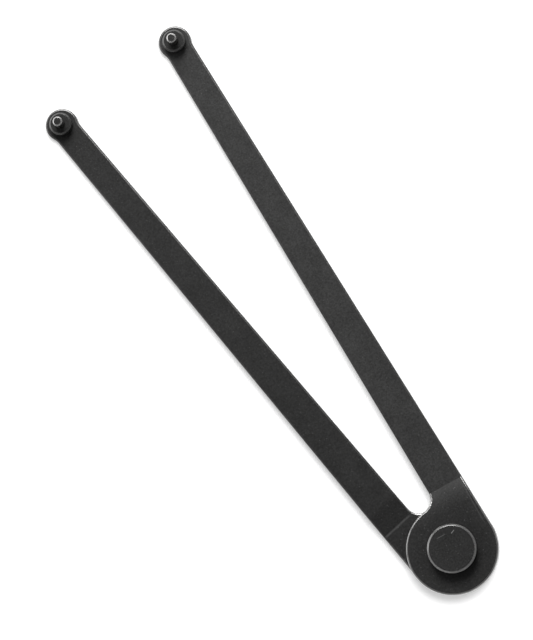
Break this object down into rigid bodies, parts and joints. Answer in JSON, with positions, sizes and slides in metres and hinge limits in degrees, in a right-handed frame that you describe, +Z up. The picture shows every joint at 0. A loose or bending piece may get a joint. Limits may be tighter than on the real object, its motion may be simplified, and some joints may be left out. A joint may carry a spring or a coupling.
{
  "type": "adjustable case back opener",
  "caption": "Adjustable pin spanner for watch case backs: long flat tapering arms hinged on a wide flat rivet, each tip carrying an upright stepped stud.",
  "frame": {"origin": "on the pivot axis, at the flat end of the rivet's formed tail, which is the lowest face", "axes": "+Z up along the pivot axis, the way the studs point; +Y from the pivot midway between the arms towards their tips; +X towards the upper arm's side"},
  "size_m": [0.0542, 0.1979, 0.014],
  "materials": {
    "arm_steel": "black oxide, satin",
    "rivet_steel": "black oxide, satin",
    "stud_steel": "black oxide, satin, worn bright on the edges"
  },
  "bodies": {
    "lower": {"lower_arm": "arm_steel", "lower_stud": "stud_steel", "pivot_rivet": "rivet_steel", "rivet_washer": "rivet_steel"},
    "upper": {"upper_arm": "arm_steel", "upper_stud": "stud_steel"}
  },
  "joints": [
    {"name": "arm_hinge", "type": "hinge", "parent": "lower", "child": "upper", "pos_m": [0, 0, 0.00651], "axis": [0, 0, -1], "range_deg": [-10.5, 266]}
  ]
}
